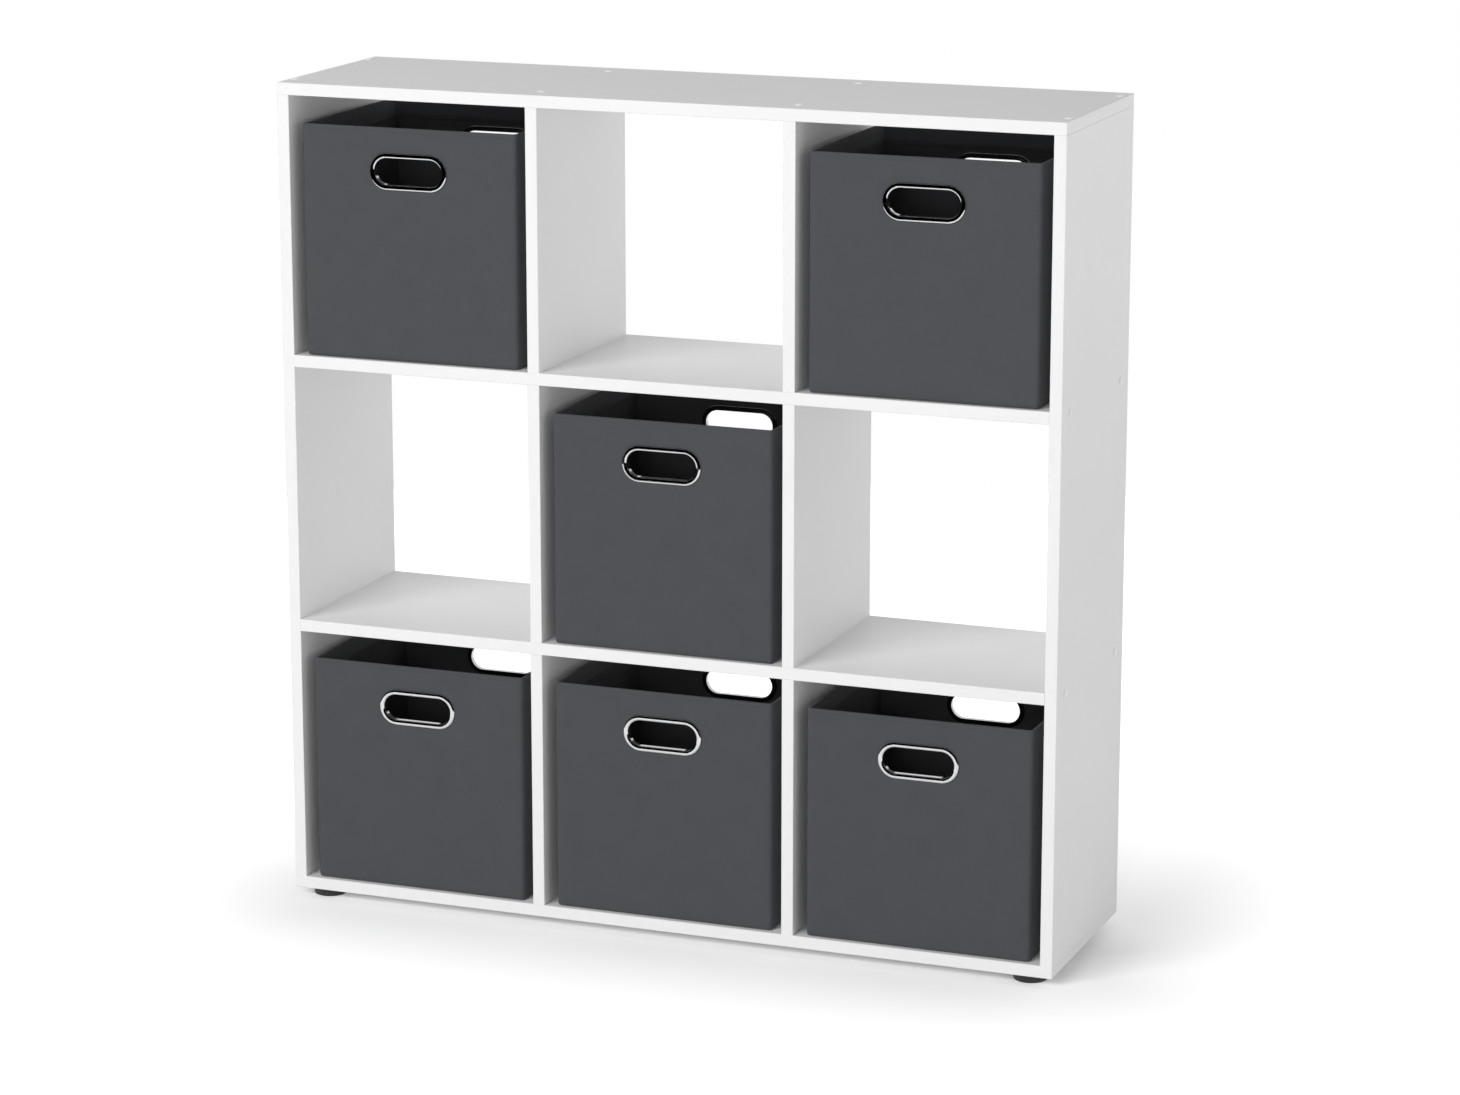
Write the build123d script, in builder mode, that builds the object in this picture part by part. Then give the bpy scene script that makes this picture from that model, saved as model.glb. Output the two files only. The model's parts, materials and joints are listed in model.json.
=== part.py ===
from build123d import *
import os

os.makedirs("parts", exist_ok=True)

# Cube storage unit with fabric bins, in millimetres.
# Origin on the floor under the middle of the unit, +X to the right, +Y to the back, +Z up.

# Carcass: melamine-faced boards around a grid of open cells, rows from the bottom up
row_names = ("bottom", "middle", "top")
divider_names = ("left", "right")
board = 16
cell_width = 330
cell_height = 338
depth = 290
edge_break = 0.6

# Screws, caps and dowels of the carcass
screw_inset = 35
screw_head_radius = 5
screw_shank_radius = 3.3
screw_length = 50
screw_socket_radius = 2.3
screw_socket_depth = 3
cap_radius = 5.5
cap_edge = 0.5
cap_shoulder_radius = 4.2
cap_shoulder = 1.2
cap_crown_radius = 2.2
cap_rise = 1.6
cap_peg_radius = 1.8
cap_peg_length = 2.4
dowel_radius = 4
dowel_reach = 20
dowel_bevel = 1
fit_gap = 0.1
drill_allowance = 1

# Feet and the screws that hold them
foot_radius = 22
foot_height = 12
foot_round = 2
foot_inset_x = 37
foot_inset_y = 30
foot_screw_head_radius = 4
foot_screw_shank_radius = 2
foot_screw_length = 20
foot_screw_recess = 2

# Fabric bins: free room around each one in its cell
bin_side_room = 15
bin_head_room = 36
bin_front_recess = 6
bin_rear_recess = 4
running_gap = 0.3

# Bin walls, from the outside in: cover, board, lining
cover_thickness = 1.2
wall_board = 2
lining_thickness = 0.8
laminate_gap = 0.1
inner_corner_radius = 2
hem = 25
base_board_thickness = 3
base_board_side_room = 1.5
base_board_corner_radius = 4

# Stadium-shaped grip eyelets
eyelet_opening_width = 94
eyelet_opening_height = 34
eyelet_flange = 7
eyelet_rise = 3
eyelet_round = 2.9
eyelet_drop = 56.5
barrel_wall = 0.8
crimp_reach = 1.5
crimp_thickness = 0.8
washer_width = 6.5
washer_thickness = 1.2
washer_bevel = 0.5

# Sizes that follow from the ones above
rows = len(row_names)
columns = len(divider_names) + 1
width = columns * cell_width + (columns + 1) * board
body_height = rows * cell_height + (rows + 1) * board
height = foot_height + body_height
inside_width = width - 2 * board
side_height = body_height - 2 * board
side_floor = foot_height + board
front = -depth / 2
screw_rows = (front + screw_inset, -front - screw_inset)
screw_edge_depth = screw_length - board + drill_allowance

bin_width = cell_width - 2 * bin_side_room
bin_height = cell_height - bin_head_room
bin_depth = depth - bin_front_recess - bin_rear_recess
bin_centre_y = front + bin_front_recess + bin_depth / 2
wall_thickness = cover_thickness + wall_board + lining_thickness + 2 * laminate_gap
bin_corner_radius = inner_corner_radius + wall_thickness
mouth_width = bin_width - 2 * wall_thickness
mouth_depth = bin_depth - 2 * wall_thickness
hem_floor = bin_height - hem
lining_floor = cover_thickness + laminate_gap
base_board_floor = lining_floor + lining_thickness + running_gap
eyelet_height = bin_height - eyelet_drop
crimp_face = wall_thickness + washer_thickness + fit_gap
eyelet_inside_rise = washer_thickness + fit_gap + crimp_thickness
base_board_end_room = eyelet_inside_rise + base_board_side_room


def upright_x(index):
    """Middle of an upright board: 0 is the left side, columns is the right side."""
    return -width / 2 + board / 2 + index * (cell_width + board)


def cell_x(column):
    """Middle of a column of cells."""
    return upright_x(column) + board / 2 + cell_width / 2


def cell_floor(row):
    """Height of the floor of a row of cells, counted from the bottom."""
    return side_floor + row * (cell_height + board)


def facing(x, y, z, direction):
    """A drilling or seating plane at a point, whose normal points in the given direction."""
    return Plane(origin=(x, y, z), z_dir=direction)


up = (0, 0, 1)
down = (0, 0, -1)
left = (-1, 0, 0)
right = (1, 0, 0)
uprights = [upright_x(index) for index in range(columns + 1)]
divider_lines = uprights[1:-1]
shelf_middles = [cell_floor(row) - board / 2 for row in range(1, rows)]

# Seats of the screw heads on the outer faces of the carcass
top_seats = [facing(x, y, height, up) for x in uprights for y in screw_rows]
bottom_seats = [facing(x, y, foot_height, down) for x in uprights for y in screw_rows]
left_seats = [facing(-width / 2, y, z, left) for z in shelf_middles for y in screw_rows]
right_seats = [facing(width / 2, y, z, right) for z in shelf_middles for y in screw_rows]
dowel_points = [(x, y) for x in divider_lines for y in screw_rows]
foot_x = width / 2 - foot_inset_x
foot_y = depth / 2 - foot_inset_y
foot_points = {
    "front_left": (-foot_x, -foot_y),
    "front_right": (foot_x, -foot_y),
    "rear_left": (-foot_x, foot_y),
    "rear_right": (foot_x, foot_y),
}


def finish(part, name):
    """Label a finished piece and write it."""
    part.label = name
    export_step(part, f"parts/{name}.step")


def screw_seat():
    """Countersunk hole through a board for a panel screw."""
    CounterSinkHole(
        radius=screw_shank_radius + fit_gap,
        counter_sink_radius=screw_head_radius + fit_gap,
        depth=board,
        counter_sink_angle=90,
    )


def screw_bore():
    """Hole in the edge of a board for the threaded end of a panel screw."""
    Hole(radius=screw_shank_radius + fit_gap, depth=screw_edge_depth)


def dowel_bore():
    """Hole in the edge of a divider for one end of a dowel."""
    Hole(radius=dowel_radius + fit_gap, depth=dowel_reach + drill_allowance)


# Top and bottom panels, full width, with every edge broken
with BuildPart() as top_panel:
    with BuildSketch(Plane.XY.offset(height - board)):
        Rectangle(width, depth)
    extrude(amount=board)
    chamfer(top_panel.edges(), edge_break)
    with Locations(*top_seats):
        screw_seat()
finish(top_panel.part, "top_panel")

with BuildPart() as bottom_panel:
    with BuildSketch(Plane.XY.offset(foot_height)):
        Rectangle(width, depth)
    extrude(amount=board)
    chamfer(bottom_panel.edges(), edge_break)
    with Locations(*bottom_seats):
        screw_seat()
    with Locations(*[facing(x, y, foot_height, down) for x, y in foot_points.values()]):
        Hole(
            radius=foot_screw_shank_radius + fit_gap,
            depth=foot_screw_length + foot_screw_recess - foot_height + drill_allowance,
        )
finish(bottom_panel.part, "bottom_panel")

# Side panels, between the top and the bottom
for name, x, seats in (
    ("left_side_panel", uprights[0], left_seats),
    ("right_side_panel", uprights[-1], right_seats),
):
    with BuildPart() as side_panel:
        with BuildSketch(Plane.XY.offset(side_floor)):
            with Locations((x, 0)):
                Rectangle(board, depth)
        extrude(amount=side_height)
        chamfer(side_panel.edges().filter_by(Axis.Z), edge_break)
        with Locations(*seats):
            screw_seat()
        with Locations(*[facing(x, y, side_floor + side_height, up) for y in screw_rows]):
            screw_bore()
        with Locations(*[facing(x, y, side_floor, down) for y in screw_rows]):
            screw_bore()
    finish(side_panel.part, name)

# Shelves, full width between the sides
for name, middle in zip(("lower_shelf", "upper_shelf"), shelf_middles):
    with BuildPart() as shelf:
        with BuildSketch(Plane.XY.offset(middle - board / 2)):
            Rectangle(inside_width, depth)
        extrude(amount=board)
        chamfer(shelf.edges().filter_by(Axis.X), edge_break)
        with Locations(*[(x, y, middle + board / 2) for x, y in dowel_points]):
            Hole(radius=dowel_radius + fit_gap, depth=board)
        with Locations(*[facing(-inside_width / 2, y, middle, left) for y in screw_rows]):
            screw_bore()
        with Locations(*[facing(inside_width / 2, y, middle, right) for y in screw_rows]):
            screw_bore()
    finish(shelf.part, name)

# Dividers, one cell tall: screwed at the top and bottom panels, dowelled at the shelves
for row, row_name in enumerate(row_names):
    for x, side_name in zip(divider_lines, divider_names):
        with BuildPart() as divider:
            with BuildSketch(Plane.XY.offset(cell_floor(row))):
                with Locations((x, 0)):
                    Rectangle(board, depth)
            extrude(amount=cell_height)
            chamfer(divider.edges().filter_by(Axis.Z), edge_break)
            with Locations(*[facing(x, y, cell_floor(row), down) for y in screw_rows]):
                if row == 0:
                    screw_bore()
                else:
                    dowel_bore()
            with Locations(*[facing(x, y, cell_floor(row) + cell_height, up) for y in screw_rows]):
                if row == rows - 1:
                    screw_bore()
                else:
                    dowel_bore()
        finish(divider.part, f"{row_name}_{side_name}_divider")


def screw_outline(head_radius, shank_radius, length):
    """Half section of a countersunk screw, head up, with its head's face a fit gap under the origin."""
    shoulder = shank_radius - head_radius - fit_gap
    return [
        (0, -fit_gap),
        (head_radius, -fit_gap),
        (shank_radius, shoulder),
        (shank_radius, shank_radius - length),
        (0, -length),
    ]


# One panel screw with a hexagon socket, then all of them on their seats
with BuildPart() as panel_screw:
    with BuildSketch(Plane.XZ):
        with BuildLine():
            Polyline(*screw_outline(screw_head_radius, screw_shank_radius, screw_length), close=True)
        make_face()
    revolve(axis=Axis.Z)
    with BuildSketch():
        RegularPolygon(screw_socket_radius, side_count=6)
    extrude(amount=-screw_socket_depth, mode=Mode.SUBTRACT)

with BuildPart() as panel_screws:
    with Locations(*top_seats, *bottom_seats, *left_seats, *right_seats):
        add(panel_screw.part)
finish(panel_screws.part, "panel_screws")

# Low crowned screw caps with a peg in the screw's socket, on the faces that show
with BuildPart() as screw_cap:
    with BuildSketch(Plane.XZ):
        with BuildLine():
            Polyline(
                (0, -cap_peg_length),
                (cap_peg_radius, -cap_peg_length),
                (cap_peg_radius, 0),
                (cap_radius, 0),
                (cap_radius, cap_edge),
                (cap_shoulder_radius, cap_shoulder),
                (cap_crown_radius, cap_rise),
                (0, cap_rise),
                close=True,
            )
        make_face()
    revolve(axis=Axis.Z)

with BuildPart() as screw_caps:
    with Locations(*top_seats, *left_seats, *right_seats):
        add(screw_cap.part)
finish(screw_caps.part, "screw_caps")

# Dowels, each through a shelf and into the dividers above and below it
with BuildPart() as dowel:
    Cylinder(radius=dowel_radius, height=board + 2 * dowel_reach)
    chamfer(dowel.edges().filter_by(GeomType.CIRCLE), dowel_bevel)

with BuildPart() as dowels:
    with Locations(*[(x, y, z) for z in shelf_middles for x, y in dowel_points]):
        add(dowel.part)
finish(dowels.part, "dowels")

# Round feet, screwed on from below
for name, (x, y) in foot_points.items():
    with BuildPart() as foot:
        with BuildSketch():
            with Locations((x, y)):
                Circle(foot_radius)
        extrude(amount=foot_height)
        fillet(foot.edges().group_by(Axis.Z)[0], foot_round)
        with Locations(facing(x, y, 0, down)):
            CounterSinkHole(
                radius=foot_screw_shank_radius + fit_gap,
                counter_sink_radius=foot_screw_head_radius + foot_screw_recess + fit_gap,
                depth=foot_height,
                counter_sink_angle=90,
            )
    finish(foot.part, f"{name}_foot")

with BuildPart() as foot_screw:
    with BuildSketch(Plane.XZ):
        with BuildLine():
            Polyline(
                *screw_outline(foot_screw_head_radius, foot_screw_shank_radius, foot_screw_length),
                close=True,
            )
        make_face()
    revolve(axis=Axis.Z)

with BuildPart() as foot_screws:
    with Locations(*[facing(x, y, foot_screw_recess, down) for x, y in foot_points.values()]):
        add(foot_screw.part)
finish(foot_screws.part, "foot_screws")

# One bin, about the middle of its own underside
eyelet_plane = Plane(origin=(0, -bin_depth / 2, eyelet_height), x_dir=right, z_dir=(0, -1, 0))


def grown_slot(growth, mode=Mode.ADD):
    """The eyelet's stadium outline, grown on every side."""
    SlotOverall(eyelet_opening_width + 2 * growth, eyelet_opening_height + 2 * growth, mode=mode)


# Outer cover: bottom, walls and a hem that is folded over the wall boards
with BuildPart() as cover:
    with BuildSketch():
        RectangleRounded(bin_width, bin_depth, bin_corner_radius)
    extrude(amount=bin_height)
    with BuildSketch(Plane.XY.offset(cover_thickness)):
        RectangleRounded(
            bin_width - 2 * cover_thickness,
            bin_depth - 2 * cover_thickness,
            bin_corner_radius - cover_thickness,
        )
    extrude(amount=hem_floor - cover_thickness, mode=Mode.SUBTRACT)
    with BuildSketch(Plane.XY.offset(hem_floor)):
        RectangleRounded(
            bin_width - 2 * cover_thickness,
            bin_depth - 2 * cover_thickness,
            bin_corner_radius - cover_thickness,
        )
        RectangleRounded(
            mouth_width + 2 * lining_thickness,
            mouth_depth + 2 * lining_thickness,
            inner_corner_radius + lining_thickness,
            mode=Mode.SUBTRACT,
        )
    extrude(amount=hem - cover_thickness, mode=Mode.SUBTRACT)
    with BuildSketch(Plane.XY.offset(hem_floor)):
        RectangleRounded(mouth_width, mouth_depth, inner_corner_radius)
    extrude(amount=hem, mode=Mode.SUBTRACT)
    with BuildSketch(eyelet_plane):
        grown_slot(barrel_wall + fit_gap)
    extrude(amount=-bin_depth, mode=Mode.SUBTRACT)

# Lining: bottom and walls, up to the edge of the hem
with BuildPart() as lining:
    with BuildSketch(Plane.XY.offset(lining_floor)):
        RectangleRounded(
            mouth_width + 2 * lining_thickness,
            mouth_depth + 2 * lining_thickness,
            inner_corner_radius + lining_thickness,
        )
    extrude(amount=hem_floor - laminate_gap - lining_floor)
    with BuildSketch(Plane.XY.offset(lining_floor + lining_thickness)):
        RectangleRounded(mouth_width, mouth_depth, inner_corner_radius)
    extrude(amount=hem_floor, mode=Mode.SUBTRACT)
    with BuildSketch(eyelet_plane):
        grown_slot(barrel_wall + fit_gap)
    extrude(amount=-bin_depth, mode=Mode.SUBTRACT)

# Four wall boards between cover and lining, short of the corners where the box folds
board_offset = cover_thickness + laminate_gap + wall_board / 2
board_floor = cover_thickness + laminate_gap
board_height = bin_height - 2 * board_floor
with BuildPart() as wall_boards:
    with BuildSketch(Plane.XY.offset(board_floor)):
        with GridLocations(0, bin_depth - 2 * board_offset, 1, 2):
            Rectangle(bin_width - 2 * bin_corner_radius, wall_board)
        with GridLocations(bin_width - 2 * board_offset, 0, 2, 1):
            Rectangle(wall_board, bin_depth - 2 * bin_corner_radius)
    extrude(amount=board_height)
    with BuildSketch(eyelet_plane):
        grown_slot(barrel_wall + fit_gap)
    extrude(amount=-bin_depth, mode=Mode.SUBTRACT)

# Loose base board, small enough to lift out past the eyelets
with BuildPart() as base_board:
    with BuildSketch(Plane.XY.offset(base_board_floor)):
        RectangleRounded(
            mouth_width - 2 * base_board_side_room,
            mouth_depth - 2 * base_board_end_room,
            base_board_corner_radius,
        )
    extrude(amount=base_board_thickness)

# Eyelets: a rounded flange outside, a barrel through the wall and a crimped lip inside
with BuildPart() as eyelets:
    with BuildSketch(eyelet_plane):
        grown_slot(eyelet_flange)
    extrude(amount=eyelet_rise)
    fillet(eyelets.faces().sort_by(Axis.Y)[0].edges(), eyelet_round)
    with BuildSketch(eyelet_plane):
        grown_slot(barrel_wall)
    extrude(amount=-crimp_face)
    with BuildSketch(eyelet_plane.offset(-crimp_face)):
        grown_slot(barrel_wall + crimp_reach)
    extrude(amount=-crimp_thickness)
    with BuildSketch(eyelet_plane.offset(eyelet_rise)):
        grown_slot(0)
    extrude(amount=-eyelet_rise - crimp_face - crimp_thickness, mode=Mode.SUBTRACT)
    fillet(eyelets.faces().sort_by(Axis.Y)[0].inner_wires().edges(), eyelet_round)
    mirror(about=Plane.XZ)

# Washers between the lining and the crimped lips
with BuildPart() as eyelet_washers:
    with BuildSketch(eyelet_plane.offset(-wall_thickness)):
        grown_slot(washer_width)
        grown_slot(barrel_wall + fit_gap, mode=Mode.SUBTRACT)
    extrude(amount=-washer_thickness)
    inner_face = eyelet_washers.faces().sort_by(Axis.Y)[-1]
    chamfer(inner_face.outer_wire().edges(), washer_bevel)
    mirror(about=Plane.XZ)

bin_pieces = {
    "cover": cover,
    "lining": lining,
    "wall_boards": wall_boards,
    "base_board": base_board,
    "eyelets": eyelets,
    "eyelet_washers": eyelet_washers,
}

# The bins that stand in the unit, by column and row
bin_cells = {
    "top_left_bin": (0, 2),
    "top_right_bin": (2, 2),
    "centre_bin": (1, 1),
    "bottom_left_bin": (0, 0),
    "bottom_middle_bin": (1, 0),
    "bottom_right_bin": (2, 0),
}
for bin_name, (column, row) in bin_cells.items():
    place = Location((cell_x(column), bin_centre_y, cell_floor(row) + running_gap))
    for piece_name, piece in bin_pieces.items():
        finish(piece.part.moved(place), f"{bin_name}_{piece_name}")
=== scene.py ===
import json
import math

import bpy
from mathutils import Euler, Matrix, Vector, noise


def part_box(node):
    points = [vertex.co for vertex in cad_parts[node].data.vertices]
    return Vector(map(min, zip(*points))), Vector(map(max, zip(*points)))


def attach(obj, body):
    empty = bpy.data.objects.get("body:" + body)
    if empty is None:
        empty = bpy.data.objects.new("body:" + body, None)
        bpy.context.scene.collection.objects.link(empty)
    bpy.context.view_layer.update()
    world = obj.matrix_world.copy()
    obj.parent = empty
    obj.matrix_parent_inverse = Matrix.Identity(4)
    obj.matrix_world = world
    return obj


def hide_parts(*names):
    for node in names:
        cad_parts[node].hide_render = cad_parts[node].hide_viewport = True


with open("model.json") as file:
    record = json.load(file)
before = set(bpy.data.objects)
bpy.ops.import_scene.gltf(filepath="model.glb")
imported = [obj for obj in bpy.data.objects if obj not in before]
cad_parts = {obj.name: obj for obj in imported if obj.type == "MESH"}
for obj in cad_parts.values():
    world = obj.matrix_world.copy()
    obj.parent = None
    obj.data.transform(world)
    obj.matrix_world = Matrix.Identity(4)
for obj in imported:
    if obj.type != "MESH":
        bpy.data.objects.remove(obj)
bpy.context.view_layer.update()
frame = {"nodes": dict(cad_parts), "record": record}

# Camera at the photograph's viewpoint: place in metres, turn and tilt in degrees, lens in millimetres
CAMERA_PLACE = (2.015, -5.113, 1.800)
CAMERA_TURN = 21.13
CAMERA_TILT = 13.40
SENSOR_WIDTH = 36
FOCAL_LENGTH = 107.2

# Fill light, brighter from the right, from behind and low down, by its slope along X, Y and Z
FILL_MEAN = 0.70
FILL_SLOPE = (0.30, 0.38, -0.63)

# In reflections the room turns from dark to white between two values of a direction's Y
ROOM_DARK = -0.15
ROOM_WHITE = 0.35

# Lamps in metres and watts: one high at the front left, a weak one by the camera that reaches into the bins,
# and a low one behind
LAMP_AIM = (0, 0, 0.6)
FRONT_LAMP = {"place": (-2.6, -7.0, 4.4), "size": (5.0, 3.5), "power": 521}
VIEW_LAMP = {"place": (1.9, -5.6, 1.6), "size": (1.0, 1.0), "power": 50}
REAR_LAMP = {"place": (0.6, 6.0, 0.8), "size": (4.0, 1.6), "power": 110}

# Floor, with lengths in metres: its picture glows to white by the distance from a box of painted shade round
# the base, fully from the reach on
FLOOR_RADIUS = 2.6
FLOOR_EDGES = 96
FLOOR_TONE = (0.90, 0.90, 0.90, 1)
FLOOR_ROUGHNESS = 0.8
FLOOR_SPECULAR = 0.1
# Painted shade: a box round the base, shifted right and forward, where the floor's glow is held back so the
# floor is darker there
PAINTED_SHADE_MIDDLE = (0.05, -0.03, 0)
PAINTED_SHADE_HALF_SIZE = (0.515, 0.05, 0)
PAINTED_SHADE_BLUR = 0.02
GLOW_FULL = 0.82
GLOW_REACH = 0.76
GLOW_POWER = 0.54
WHITE = (1, 1, 1, 1)

# Tones of the materials from darkest to lightest, in linear light
WHITE_BOARD = ((0.81, 0.81, 0.81), (0.825, 0.825, 0.825))
GREY_FABRIC = ((0.054, 0.056, 0.061), (0.078, 0.081, 0.088))
DARK_FABRIC = ((0.048, 0.050, 0.053), (0.067, 0.069, 0.074))
BRIGHT_METAL = ((0.47, 0.47, 0.48), (0.55, 0.55, 0.56))
ZINC = ((0.46, 0.47, 0.48), (0.60, 0.60, 0.60))
BLACK_PLASTIC = ((0.014, 0.014, 0.014), (0.022, 0.022, 0.022))
WHITE_PLASTIC = ((0.84, 0.84, 0.84), (0.88, 0.88, 0.88))
PRESSED_BOARD = ((0.36, 0.28, 0.19), (0.50, 0.41, 0.30))
BEECH = ((0.50, 0.36, 0.21), (0.64, 0.49, 0.32))

# The part of a noise's range over which a tone goes from darkest to lightest
TONE_START = 0.3
TONE_END = 0.7

# Points embossed in the fabrics: their spacing in metres, the range of their wave over which they sink in,
# their share in the fabric's surface and that surface's share in its tone
EMBOSS_PITCH = 0.0022
EMBOSS_START = 0.2
EMBOSS_END = 0.8
EMBOSS_SHARE = 0.5
SURFACE_SHARE = 0.75

# Fabric bins, in metres
BIN_NAMES = (
    "top_left_bin", "top_right_bin", "centre_bin",
    "bottom_left_bin", "bottom_middle_bin", "bottom_right_bin",
)
WALL = 0.0042
COVER_THICKNESS = 0.0010
LINING_THICKNESS = 0.0007
LINING_PROUD = 0.00014
CORNER_RADIUS = 0.0062
INNER_CORNER_RADIUS = 0.0020
BOTTOM_RADIUS = 0.0025
BOTTOM_MIDWAY = 0.00075
HEM = 0.025
HEM_LAP = 0.004
EYELET_DROP = 0.0565
EYELET_WIDTH = 0.094
EYELET_HEIGHT = 0.034
EYELET_HOLE_GROWTH = 0.0016

# Grid of the fabric walls: a finer patch lies round each eyelet
PATCH_HALF_WIDTH = 0.066
PATCH_HALF_HEIGHT = 0.036
PATCH_COLUMNS = 12
PATCH_ROWS = 6
FLANK_COLUMNS = 7
SIDE_COLUMNS = 24
ROWS_BELOW_PATCH = 17
ROWS_ABOVE_PATCH = 2
CORNER_STEPS = 4
RIM_STEPS = 6
HEM_STEPS = 3
ACROSS_COUNT = PATCH_COLUMNS + 2 * FLANK_COLUMNS + 1
ALONG_COUNT = SIDE_COLUMNS + 1
FRONT_START = 0
REAR_START = ACROSS_COUNT + ALONG_COUNT + 2 * (CORNER_STEPS - 1)
# Each ring in a patch: its place on the way from the patch's edge to the eyelet's hole
PATCH_RINGS = (0.5, 0.85, 1)

# Soft folds in the fabric walls, in metres, and the step in the noise from one bin to the next
FOLD_DEPTH = 0.0006
FOLD_WIDTH = 0.042
FOLD_LENGTH = 0.33
WALL_SWELL = 0.0012
CREASE_DEPTH = 0.0006
CREASE_WIDTH = 0.010
CALM_EDGE = 0.022
SEED_STEP = 7.3

# Top-stitching along the rim, in metres
STITCH_DROP = 0.006
STITCH_PITCH = 0.0044
STITCH_LENGTH = 0.0032
STITCH_RADIUS = 0.00035
STITCH_SIDES = 6
# Each ring of a stitch: its place along the stitch and its height above the cover, in thread radii
STITCH_PROFILE = ((-0.5, -1.0), (-0.38, 0.1), (-0.15, 0.6), (0.15, 0.6), (0.38, 0.1), (0.5, -1.0))


def new_material(name):
    """A new node material, its node tree and its shader."""
    made = bpy.data.materials.new(name)
    made.use_nodes = True
    return made, made.node_tree, made.node_tree.nodes["Principled BSDF"]


def feed(tree, socket, value):
    """Link a socket to another node's result, or set it to a fixed value."""
    if isinstance(value, bpy.types.NodeSocket):
        tree.links.new(value, socket)
    else:
        socket.default_value = value


def math_result(tree, operation, first, second=0):
    """The result of a maths node."""
    node = tree.nodes.new("ShaderNodeMath")
    node.operation = operation
    feed(tree, node.inputs[0], first)
    feed(tree, node.inputs[1], second)
    return node.outputs["Value"]


def vector_result(tree, operation, first, second=(0, 0, 0)):
    """The result of a vector maths node: a number for a length or a dot product, and otherwise a vector."""
    node = tree.nodes.new("ShaderNodeVectorMath")
    node.operation = operation
    feed(tree, node.inputs[0], first)
    feed(tree, node.inputs[1], second)
    return node.outputs["Value" if operation in ("LENGTH", "DOT_PRODUCT") else "Vector"]


def mapped(tree, value, from_range, to_range=(0, 1), interpolation="LINEAR"):
    """A value carried from one range to another and held inside it."""
    node = tree.nodes.new("ShaderNodeMapRange")
    node.interpolation_type = interpolation
    node.inputs["From Min"].default_value, node.inputs["From Max"].default_value = from_range
    node.inputs["To Min"].default_value, node.inputs["To Max"].default_value = to_range
    tree.links.new(value, node.inputs["Value"])
    return node.outputs["Result"]


def blended(tree, first, second, share):
    """Two factors mixed, with the given share of the second."""
    mix = tree.nodes.new("ShaderNodeMix")
    feed(tree, mix.inputs["Factor"], share)
    feed(tree, mix.inputs["A"], first)
    feed(tree, mix.inputs["B"], second)
    return mix.outputs["Result"]


def own_place(tree):
    """The place of a point in its object's own coordinates, in metres."""
    return tree.nodes.new("ShaderNodeTexCoord").outputs["Object"]


def object_noise(tree, scale, stretch=(1, 1, 1), detail=2, roughness=0.55):
    """Noise on the object's own coordinates, stretched along its axes."""
    mapping = tree.nodes.new("ShaderNodeMapping")
    mapping.inputs["Scale"].default_value = stretch
    tree.links.new(own_place(tree), mapping.inputs["Vector"])
    texture = tree.nodes.new("ShaderNodeTexNoise")
    texture.inputs["Scale"].default_value = scale
    texture.inputs["Detail"].default_value = detail
    texture.inputs["Roughness"].default_value = roughness
    tree.links.new(mapping.outputs["Vector"], texture.inputs["Vector"])
    return texture.outputs["Fac"]


def set_tone(tree, shader, factor, tones):
    """Base colour between two tones, by a factor."""
    ramp = tree.nodes.new("ShaderNodeValToRGB")
    for stop, position, tone in zip(ramp.color_ramp.elements, (TONE_START, TONE_END), tones):
        stop.position = position
        stop.color = (*tone, 1)
    tree.links.new(factor, ramp.inputs["Fac"])
    tree.links.new(ramp.outputs["Color"], shader.inputs["Base Color"])


def set_roughness(tree, shader, factor, low, high):
    """Roughness between two values, by a factor."""
    tree.links.new(mapped(tree, factor, (0, 1), (low, high)), shader.inputs["Roughness"])


def set_bump(tree, shader, height, strength, distance):
    """A bump of the given height field."""
    node = tree.nodes.new("ShaderNodeBump")
    node.inputs["Strength"].default_value = strength
    node.inputs["Distance"].default_value = distance
    tree.links.new(height, node.inputs["Height"])
    tree.links.new(node.outputs["Normal"], shader.inputs["Normal"])


def melamine(name, tones):
    """Melamine-faced board: faint clouding, satin gloss and a fine pearled surface."""
    made, tree, shader = new_material(name)
    set_tone(tree, shader, object_noise(tree, scale=6, detail=3), tones)
    pearl = object_noise(tree, scale=700)
    set_roughness(tree, shader, pearl, low=0.42, high=0.54)
    set_bump(tree, shader, pearl, strength=0.08, distance=0.0002)
    shader.inputs["Specular IOR Level"].default_value = 0.25
    return made


def waves(tree, direction):
    """A sine along a direction of the object's own coordinates, one wave for each embossed point."""
    turns = [2 * math.pi / EMBOSS_PITCH * part for part in direction]
    return math_result(tree, "SINE", vector_result(tree, "DOT_PRODUCT", own_place(tree), turns))


def embossing(tree):
    """The rows of small points that bond a non-woven fabric, on its upright walls."""
    grid = math_result(tree, "MULTIPLY", waves(tree, (1, 1, 0)), waves(tree, (0, 0, 1)))
    return mapped(tree, grid, (EMBOSS_START, EMBOSS_END), (1, 0), "SMOOTHSTEP")


def non_woven(name, tones, sheen):
    """Non-woven fabric: pressed fibres, embossed points, a faint cloudiness and a soft sheen."""
    made, tree, shader = new_material(name)
    fibres = object_noise(tree, scale=900, stretch=(1, 1, 0.7), detail=4, roughness=0.7)
    clouds = object_noise(tree, scale=30, detail=4)
    surface = blended(tree, fibres, embossing(tree), EMBOSS_SHARE)
    set_tone(tree, shader, blended(tree, clouds, surface, SURFACE_SHARE), tones)
    set_roughness(tree, shader, surface, low=0.72, high=0.97)
    set_bump(tree, shader, surface, strength=0.6, distance=0.0008)
    shader.inputs["Specular IOR Level"].default_value = 0.2
    shader.inputs["Sheen Weight"].default_value = sheen
    shader.inputs["Sheen Roughness"].default_value = 0.5
    return made


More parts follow.
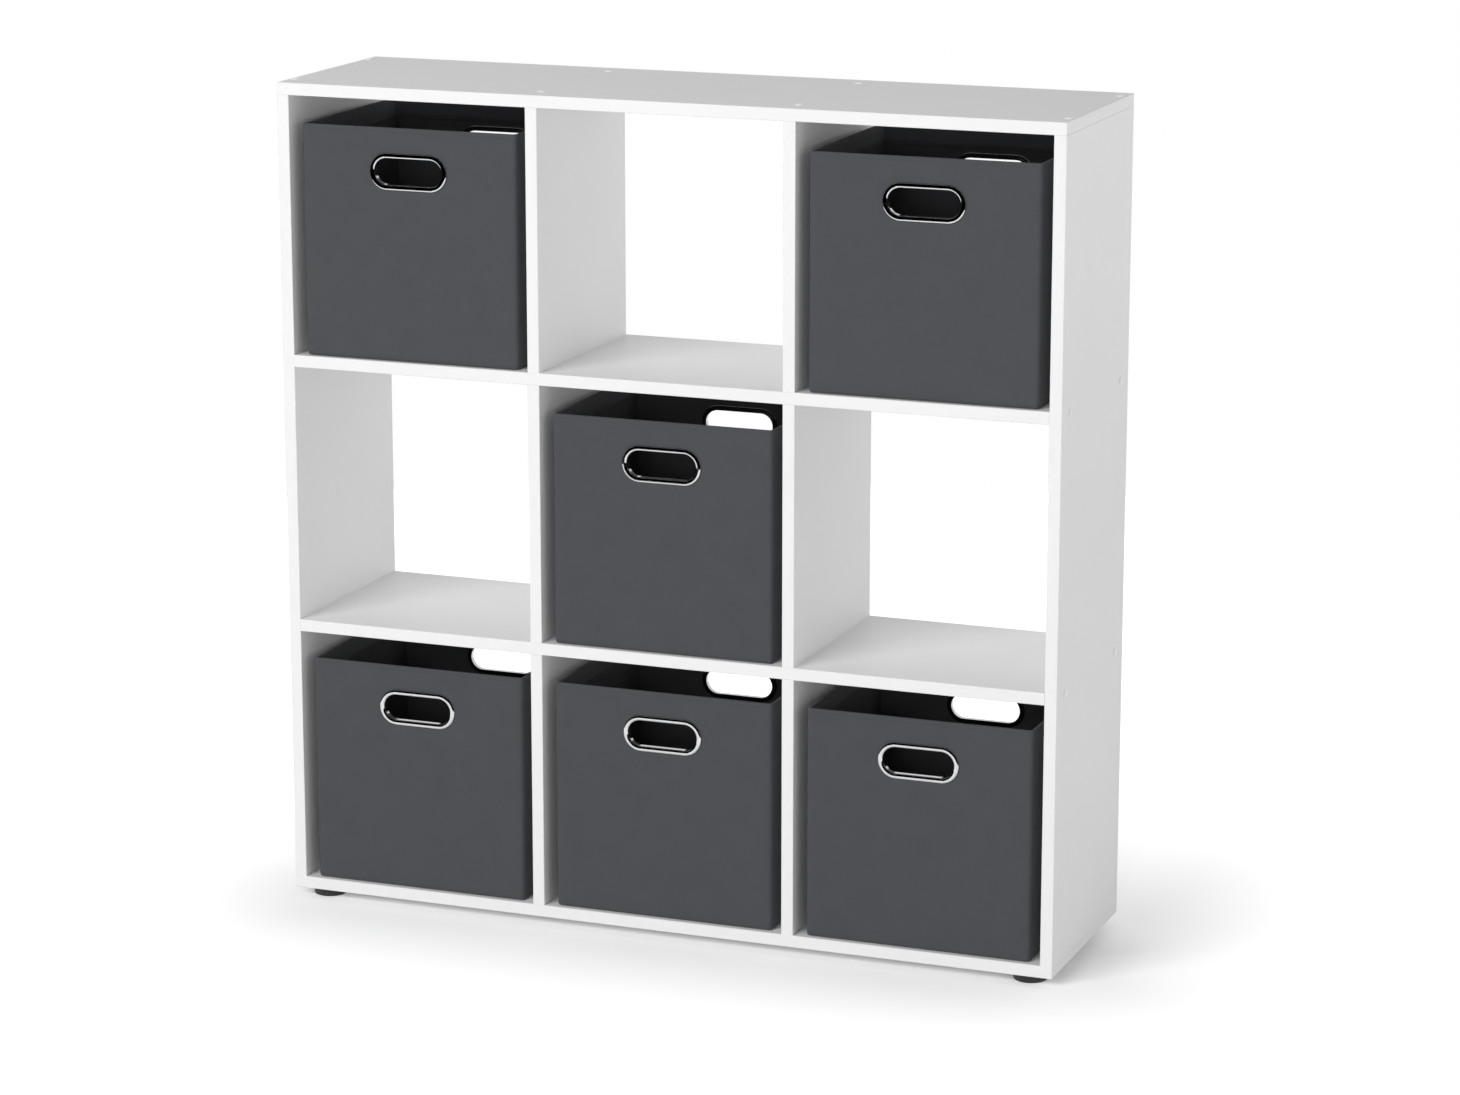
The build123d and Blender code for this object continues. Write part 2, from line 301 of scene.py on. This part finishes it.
def polished_metal(name, tones):
    """Bright plated metal with a trace of handling marks."""
    made, tree, shader = new_material(name)
    marks = object_noise(tree, scale=240, detail=3)
    set_tone(tree, shader, marks, tones)
    set_roughness(tree, shader, marks, low=0.05, high=0.12)
    shader.inputs["Metallic"].default_value = 1
    return made


def moulded_plastic(name, tones, smooth, rough):
    """Moulded plastic with a fine spark-eroded texture."""
    made, tree, shader = new_material(name)
    grain = object_noise(tree, scale=1400)
    set_tone(tree, shader, grain, tones)
    set_roughness(tree, shader, grain, smooth, rough)
    set_bump(tree, shader, grain, strength=0.15, distance=0.0002)
    return made


def plated_steel(name, tones):
    """Plated steel with fine turning marks."""
    made, tree, shader = new_material(name)
    marks = object_noise(tree, scale=500, stretch=(1, 1, 3))
    set_tone(tree, shader, marks, tones)
    set_roughness(tree, shader, marks, low=0.28, high=0.42)
    shader.inputs["Metallic"].default_value = 1
    return made


def raw_wood(name, tones):
    """Raw wood or pressed board with a long grain."""
    made, tree, shader = new_material(name)
    grain = object_noise(tree, scale=300, stretch=(1, 1, 0.15), detail=4)
    set_tone(tree, shader, grain, tones)
    set_roughness(tree, shader, grain, low=0.6, high=0.8)
    set_bump(tree, shader, grain, strength=0.2, distance=0.0003)
    return made


looks = {
    "white_board": melamine("white_melamine", WHITE_BOARD),
    "grey_fabric": non_woven("grey_non_woven", GREY_FABRIC, sheen=0.08),
    "dark_lining": non_woven("dark_non_woven", DARK_FABRIC, sheen=0.04),
    "covered_board": non_woven("covered_board", DARK_FABRIC, sheen=0.04),
    "bright_metal": polished_metal("plated_metal", BRIGHT_METAL),
    "black_plastic": moulded_plastic("black_plastic", BLACK_PLASTIC, smooth=0.38, rough=0.55),
    "white_plastic": moulded_plastic("white_plastic", WHITE_PLASTIC, smooth=0.28, rough=0.4),
    "steel": plated_steel("zinc_plated_steel", ZINC),
    "pressed_board": raw_wood("pressed_board", PRESSED_BOARD),
    "beech": raw_wood("beech", BEECH),
}

for subpart in frame["record"]["subparts"]:
    node_mesh = frame["nodes"][subpart["node"]].data
    node_mesh.materials.clear()
    node_mesh.materials.append(looks[subpart["material_slot"]])


def new_mesh_object(name, points, faces, look):
    """A smooth-shaded mesh object in the scene, with one material."""
    mesh = bpy.data.meshes.new(name)
    mesh.from_pydata(points, [], faces)
    mesh.polygons.foreach_set("use_smooth", [True] * len(faces))
    mesh.materials.append(look)
    made = bpy.data.objects.new(name, mesh)
    bpy.context.scene.collection.objects.link(made)
    return made


def even_steps(start, end, count):
    """Evenly spaced values from start to end, both included."""
    return [start + (end - start) * step / count for step in range(count + 1)]


def wall_columns(end):
    """Places of the grid columns along a pierced wall, with a fixed patch round the eyelet."""
    left = even_steps(-end, -PATCH_HALF_WIDTH, FLANK_COLUMNS)
    middle = even_steps(-PATCH_HALF_WIDTH, PATCH_HALF_WIDTH, PATCH_COLUMNS)
    right = even_steps(PATCH_HALF_WIDTH, end, FLANK_COLUMNS)
    return left + middle[1:] + right[1:]


def box_loop(half_width, half_depth, radius):
    """Points round a rounded rectangle with their outward directions, anticlockwise from the front left."""
    across = wall_columns(half_width - radius)
    along = even_steps(radius - half_depth, half_depth - radius, SIDE_COLUMNS)
    straights = (
        [(Vector((x, -half_depth)), Vector((0, -1))) for x in across],
        [(Vector((half_width, y)), Vector((1, 0))) for y in along],
        [(Vector((x, half_depth)), Vector((0, 1))) for x in reversed(across)],
        [(Vector((-half_width, y)), Vector((-1, 0))) for y in reversed(along)],
    )
    loop = []
    for straight in straights:
        loop += straight
        end, direction = straight[-1]
        centre = end - direction * radius
        first_angle = math.atan2(direction.y, direction.x)
        for step in range(1, CORNER_STEPS):
            angle = first_angle + math.pi / 2 * step / CORNER_STEPS
            outward = Vector((math.cos(angle), math.sin(angle)))
            loop.append((centre + outward * radius, outward))
    return loop


def wall_rows(low, eyelet_height, high):
    """Heights of the grid rows of a wall, with a fixed patch round the eyelet."""
    below = even_steps(low, eyelet_height - PATCH_HALF_HEIGHT, ROWS_BELOW_PATCH)
    patch = even_steps(below[-1], eyelet_height + PATCH_HALF_HEIGHT, PATCH_ROWS)
    above = even_steps(patch[-1], high, ROWS_ABOVE_PATCH)
    return below + patch[1:] + above[1:]


def on_eyelet_hole(x, z):
    """The nearest point on the outline of the hole for an eyelet, about the eyelet's middle."""
    radius = EYELET_HEIGHT / 2 + EYELET_HOLE_GROWTH
    reach = (EYELET_WIDTH - EYELET_HEIGHT) / 2
    spine = Vector((max(-reach, min(reach, x)), 0))
    return spine + (Vector((x, z)) - spine).normalized() * radius


def clamped(value):
    """A value held between nought and one."""
    return max(0.0, min(1.0, value))


def wall_lift(across, z, outward, half_wall, height, seed):
    """How far the fabric stands out of the plane of a wall, across and z from its lower middle."""
    pierced = outward.y != 0
    calm = clamped(min(half_wall - abs(across), z, height - z) / CALM_EDGE)
    if pierced:
        from_eyelet = Vector((across, z - height + EYELET_DROP)).length - PATCH_HALF_WIDTH
        calm *= clamped(from_eyelet / CALM_EDGE)
    side = round(math.degrees(math.atan2(outward.y, outward.x)))
    folds = noise.noise(Vector((across / FOLD_WIDTH, z / FOLD_LENGTH, seed + side)))
    swell = math.cos(across / half_wall * math.pi / 2) * math.sin(z / height * math.pi)
    crease = math.exp(-((across / CREASE_WIDTH) ** 2)) if pierced else 0.0
    return calm * (folds * FOLD_DEPTH + swell * WALL_SWELL - crease * CREASE_DEPTH)


def thread_faces(first):
    """Quads between the rings of a stitch, whose points start at the given number."""
    faces = []
    for ring in range(len(STITCH_PROFILE) - 1):
        ring_start = first + ring * STITCH_SIDES
        for side in range(STITCH_SIDES):
            here = ring_start + side
            after = ring_start + (side + 1) % STITCH_SIDES
            faces.append((here, here + STITCH_SIDES, after + STITCH_SIDES, after))
    return faces


class Sheet:
    """A mesh of fabric, grown from loops of points round the bin."""

    def __init__(self):
        self.points = []
        self.faces = []
        self.loops = []

    def add_point(self, place):
        """The number of a new point."""
        self.points.append(tuple(place))
        return len(self.points) - 1

    def add_loop(self, places):
        """A new loop of points, next to the last one."""
        self.loops.append([self.add_point(place) for place in places])

    def skin(self, patch_row):
        """Quads between neighbouring loops, but for the patches round the eyelets."""
        rows = range(patch_row, patch_row + PATCH_ROWS)
        front = range(FRONT_START + FLANK_COLUMNS, FRONT_START + FLANK_COLUMNS + PATCH_COLUMNS)
        rear = range(REAR_START + FLANK_COLUMNS, REAR_START + FLANK_COLUMNS + PATCH_COLUMNS)
        for row, (low, high) in enumerate(zip(self.loops, self.loops[1:])):
            for column in range(len(low)):
                if row in rows and (column in front or column in rear):
                    continue
                after = (column + 1) % len(low)
                self.faces.append((low[column], low[after], high[after], high[column]))

    def pierce(self, patch_row, start, centre):
        """Rings of quads from the edge of a patch in to the outline of an eyelet's hole."""
        first = start + FLANK_COLUMNS
        last = first + PATCH_COLUMNS
        top_row = patch_row + PATCH_ROWS
        edge = self.loops[patch_row][first:last]
        edge += [self.loops[row][last] for row in range(patch_row, top_row)]
        edge += self.loops[top_row][last:first:-1]
        edge += [self.loops[row][first] for row in range(top_row, patch_row, -1)]
        previous = edge
        for share in PATCH_RINGS:
            ring = []
            for index in edge:
                corner = Vector(self.points[index])
                hole = on_eyelet_hole(corner.x - centre.x, corner.z - centre.z)
                target = centre + Vector((hole.x, 0, hole.y))
                ring.append(self.add_point(corner.lerp(target, share)))
            for here in range(len(edge)):
                after = (here + 1) % len(edge)
                self.faces.append((previous[here], previous[after], ring[after], ring[here]))
            previous = ring

    def close(self):
        """A grid of quads inside the first loop, whose corners are the middles of its rounded corners."""
        loop = self.loops[0]
        across = ACROSS_COUNT - 1 + CORNER_STEPS
        along = ALONG_COUNT - 1 + CORNER_STEPS
        ordered = [loop[index - CORNER_STEPS // 2] for index in range(len(loop))] * 2
        front = ordered[:across + 1]
        right = ordered[across:across + along + 1]
        rear = ordered[across + along:2 * across + along + 1][::-1]
        left = ordered[2 * across + along:2 * across + 2 * along + 1][::-1]
        rows = [front]
        for start, end in zip(left[1:-1], right[1:-1]):
            _, y, z = self.points[start]
            inner = [self.add_point((self.points[index][0], y, z)) for index in front[1:-1]]
            rows.append([start, *inner, end])
        rows.append(rear)
        for low, high in zip(rows, rows[1:]):
            for column in range(across):
                self.faces.append((low[column], high[column], high[column + 1], low[column + 1]))

    def build(self, name, look, thickness, flip=False):
        """The finished piece, smoothed and given its thickness on the side away from its normals."""
        piece = new_mesh_object(name, self.points, self.faces, look)
        if flip:
            piece.data.flip_normals()
        smooth = piece.modifiers.new("smooth", "SUBSURF")
        smooth.levels = 1
        smooth.render_levels = 1
        solid = piece.modifiers.new("thickness", "SOLIDIFY")
        solid.thickness = thickness
        solid.offset = -1
        return piece


class BinShape:
    """The space that a bin takes up, and the fabric pieces that fill it."""

    def __init__(self, name, seed):
        self.name = name
        self.seed = seed
        self.low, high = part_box(f"{name}_cover")
        self.middle = (self.low + high) / 2
        self.half_width, self.half_depth, half_height = (high - self.low) / 2
        self.height = 2 * half_height
        self.eyelet_height = self.height - EYELET_DROP

    def level(self, inset, z, folded=False):
        """A loop of points round the bin at a height, inset from its outer faces."""
        radius = max(CORNER_RADIUS - inset, INNER_CORNER_RADIUS)
        places = []
        for place, outward in box_loop(self.half_width - inset, self.half_depth - inset, radius):
            if folded and max(abs(outward.x), abs(outward.y)) == 1:
                on_end = abs(outward.y) == 1
                across = place.x if on_end else place.y
                half_wall = self.half_width if on_end else self.half_depth
                place += outward * wall_lift(across, z, outward, half_wall, self.height, self.seed)
            places.append((self.middle.x + place.x, self.middle.y + place.y, self.low.z + z))
        return places

    def eyelet_middle(self, side, inset):
        """The middle of an eyelet's hole in the front (-1) or rear (1) wall."""
        y = self.middle.y + side * (self.half_depth - inset)
        return Vector((self.middle.x, y, self.low.z + self.eyelet_height))

    def add_faces(self, sheet, wall_start, inset):
        """Faces on a sheet's loops, with both eyelets' holes and the bottom."""
        patch_row = wall_start + ROWS_BELOW_PATCH
        sheet.skin(patch_row)
        sheet.pierce(patch_row, FRONT_START, self.eyelet_middle(-1, inset))
        sheet.pierce(patch_row, REAR_START, self.eyelet_middle(1, inset))
        sheet.close()

    def cover(self):
        """The outer fabric: bottom, walls with soft folds, rolled rim and the hem inside."""
        sheet = Sheet()
        sheet.add_loop(self.level(BOTTOM_RADIUS, 0))
        sheet.add_loop(self.level(BOTTOM_MIDWAY, BOTTOM_MIDWAY))
        wall_start = len(sheet.loops)
        rim_radius = WALL / 2
        shoulder = self.height - rim_radius
        for z in wall_rows(BOTTOM_RADIUS, self.eyelet_height, shoulder):
            sheet.add_loop(self.level(0, z, folded=True))
        for angle in even_steps(0, math.pi, RIM_STEPS)[1:]:
            inset = rim_radius * (1 - math.cos(angle))
            sheet.add_loop(self.level(inset, shoulder + rim_radius * math.sin(angle)))
        for z in even_steps(shoulder, self.height - HEM, HEM_STEPS)[1:]:
            sheet.add_loop(self.level(WALL, z))
        self.add_faces(sheet, wall_start, 0)
        return sheet.build(f"{self.name}_fabric_cover", looks["grey_fabric"], COVER_THICKNESS)

    def lining(self):
        """The inner fabric: floor and walls, up behind the hem."""
        lining_low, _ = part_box(f"{self.name}_lining")
        floor = lining_low.z - self.low.z + LINING_THICKNESS
        inset = WALL + LINING_PROUD
        sheet = Sheet()
        sheet.add_loop(self.level(inset + INNER_CORNER_RADIUS, floor))
        wall_start = len(sheet.loops)
        hem_edge = self.height - HEM
        for z in wall_rows(floor + INNER_CORNER_RADIUS, self.eyelet_height, hem_edge - HEM_LAP):
            sheet.add_loop(self.level(inset, z))
        sheet.add_loop(self.level(inset - COVER_THICKNESS, hem_edge + HEM_LAP))
        self.add_faces(sheet, wall_start, inset)
        return sheet.build(f"{self.name}_fabric_lining", looks["dark_lining"], LINING_THICKNESS, flip=True)

    def stitch_ring(self, outward, half_wall, reach, run, lift):
        """Points round a stitch's thread, by its run along a wall and its height in thread radii."""
        along = Vector((-outward.y, outward.x))
        across = run * (along.x + along.y)
        z = self.height - STITCH_DROP
        raised = wall_lift(across, z, outward, half_wall, self.height, self.seed)
        spot = along * run + outward * (reach + raised + STITCH_RADIUS * lift)
        ring = []
        for side in range(STITCH_SIDES):
            angle = 2 * math.pi * side / STITCH_SIDES
            rim = spot + outward * STITCH_RADIUS * math.cos(angle)
            rise = STITCH_RADIUS * math.sin(angle)
            ring.append((self.middle.x + rim.x, self.middle.y + rim.y, self.low.z + z + rise))
        return ring

    def stitching(self):
        """The row of stitches that holds the hem, short threads that dip into the cover at their ends."""
        points = []
        faces = []
        walls = (
            (Vector((0, -1)), self.half_width, self.half_depth),
            (Vector((1, 0)), self.half_depth, self.half_width),
            (Vector((0, 1)), self.half_width, self.half_depth),
            (Vector((-1, 0)), self.half_depth, self.half_width),
        )
        for outward, half_wall, reach in walls:
            count = int(2 * (half_wall - CORNER_RADIUS) / STITCH_PITCH)
            for number in range(count):
                middle = (number - (count - 1) / 2) * STITCH_PITCH
                faces += thread_faces(len(points))
                for share, lift in STITCH_PROFILE:
                    run = middle + STITCH_LENGTH * share
                    points += self.stitch_ring(outward, half_wall, reach, run, lift)
        return new_mesh_object(f"{self.name}_stitching", points, faces, looks["grey_fabric"])


for bin_number, bin_name in enumerate(BIN_NAMES):
    shape = BinShape(bin_name, bin_number * SEED_STEP)
    cover = shape.cover()
    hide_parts(f"{bin_name}_cover")
    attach(cover, bin_name)
    lining = shape.lining()
    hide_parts(f"{bin_name}_lining")
    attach(lining, bin_name)
    stitching = shape.stitching()
    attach(stitching, bin_name)


def floor_material():
    """A white studio floor that glows to white away from the object, with painted shade where the glow fades
    out near the base, on top of its rendered shadow.
    """
    made, tree, shader = new_material("studio_floor")
    shader.inputs["Base Color"].default_value = FLOOR_TONE
    shader.inputs["Roughness"].default_value = FLOOR_ROUGHNESS
    shader.inputs["Specular IOR Level"].default_value = FLOOR_SPECULAR
    shader.inputs["Emission Color"].default_value = WHITE
    # Painted shade: the glow is held back within a box shifted right and forward of the middle, so the floor
    # is darker round the base, most on the right and in front
    from_middle = vector_result(tree, "SUBTRACT", own_place(tree), PAINTED_SHADE_MIDDLE)
    folded = vector_result(tree, "ABSOLUTE", from_middle)
    beyond = vector_result(tree, "SUBTRACT", folded, PAINTED_SHADE_HALF_SIZE)
    outside_painted_shade = vector_result(tree, "MAXIMUM", beyond, (0, 0, PAINTED_SHADE_BLUR))
    share = mapped(tree, vector_result(tree, "LENGTH", outside_painted_shade), (0, GLOW_REACH))
    glow = math_result(tree, "MULTIPLY", math_result(tree, "POWER", share, GLOW_POWER), GLOW_FULL)
    path = tree.nodes.new("ShaderNodeLightPath")
    seen = math_result(tree, "MAXIMUM", path.outputs["Is Camera Ray"], path.outputs["Is Glossy Ray"])
    shown = math_result(tree, "MAXIMUM", seen, path.outputs["Is Transmission Ray"])
    tree.links.new(math_result(tree, "MULTIPLY", glow, shown), shader.inputs["Emission Strength"])
    return made


def round_floor():
    """A round white floor under the object."""
    angles = [2 * math.pi * edge / FLOOR_EDGES for edge in range(FLOOR_EDGES)]
    points = [(FLOOR_RADIUS * math.cos(angle), FLOOR_RADIUS * math.sin(angle), 0) for angle in angles]
    floor = new_mesh_object("studio_floor", points, [tuple(range(FLOOR_EDGES))], floor_material())


def studio_world():
    """A soft fill, with a white backdrop behind the object and a dark room before it in its reflections."""
    world = bpy.data.worlds.new("studio")
    world.use_nodes = True
    tree = world.node_tree
    direction = tree.nodes.new("ShaderNodeTexCoord").outputs["Generated"]
    slope = vector_result(tree, "DOT_PRODUCT", direction, FILL_SLOPE)
    fill = math_result(tree, "MAXIMUM", math_result(tree, "ADD", slope, FILL_MEAN))
    split = tree.nodes.new("ShaderNodeSeparateXYZ")
    tree.links.new(direction, split.inputs["Vector"])
    room = mapped(tree, split.outputs["Y"], (ROOM_DARK, ROOM_WHITE), interpolation="SMOOTHSTEP")
    path = tree.nodes.new("ShaderNodeLightPath")
    light = blended(tree, fill, room, path.outputs["Is Glossy Ray"])
    seen = math_result(tree, "MAXIMUM", path.outputs["Is Camera Ray"], path.outputs["Is Transmission Ray"])
    background = tree.nodes["Background"]
    background.inputs["Color"].default_value = WHITE
    tree.links.new(blended(tree, light, 1, seen), background.inputs["Strength"])
    bpy.context.scene.world = world


def soft_box(name, place, size, power):
    """A studio lamp turned towards the object, out of sight of the camera and of reflections."""
    light = bpy.data.lights.new(name, "AREA")
    light.shape = "RECTANGLE"
    light.size, light.size_y = size
    light.energy = power
    lamp = bpy.data.objects.new(name, light)
    lamp.location = place
    lamp.rotation_euler = (Vector(LAMP_AIM) - Vector(place)).to_track_quat("-Z", "Y").to_euler()
    lamp.visible_camera = False
    lamp.visible_glossy = False
    bpy.context.scene.collection.objects.link(lamp)


def photo_camera():
    """The camera of the render, level along its width."""
    camera_data = bpy.data.cameras.new("photo_camera")
    camera_data.sensor_fit = "HORIZONTAL"
    camera_data.sensor_width = SENSOR_WIDTH
    camera_data.lens = FOCAL_LENGTH
    camera = bpy.data.objects.new("photo_camera", camera_data)
    camera.location = CAMERA_PLACE
    camera.rotation_euler = Euler((math.radians(90 - CAMERA_TILT), 0, math.radians(CAMERA_TURN)))
    bpy.context.scene.collection.objects.link(camera)
    bpy.context.scene.camera = camera


round_floor()
studio_world()
soft_box("front_soft_box", **FRONT_LAMP)
soft_box("view_soft_box", **VIEW_LAMP)
soft_box("rear_soft_box", **REAR_LAMP)
photo_camera()
bpy.context.scene.view_settings.view_transform = "Standard"
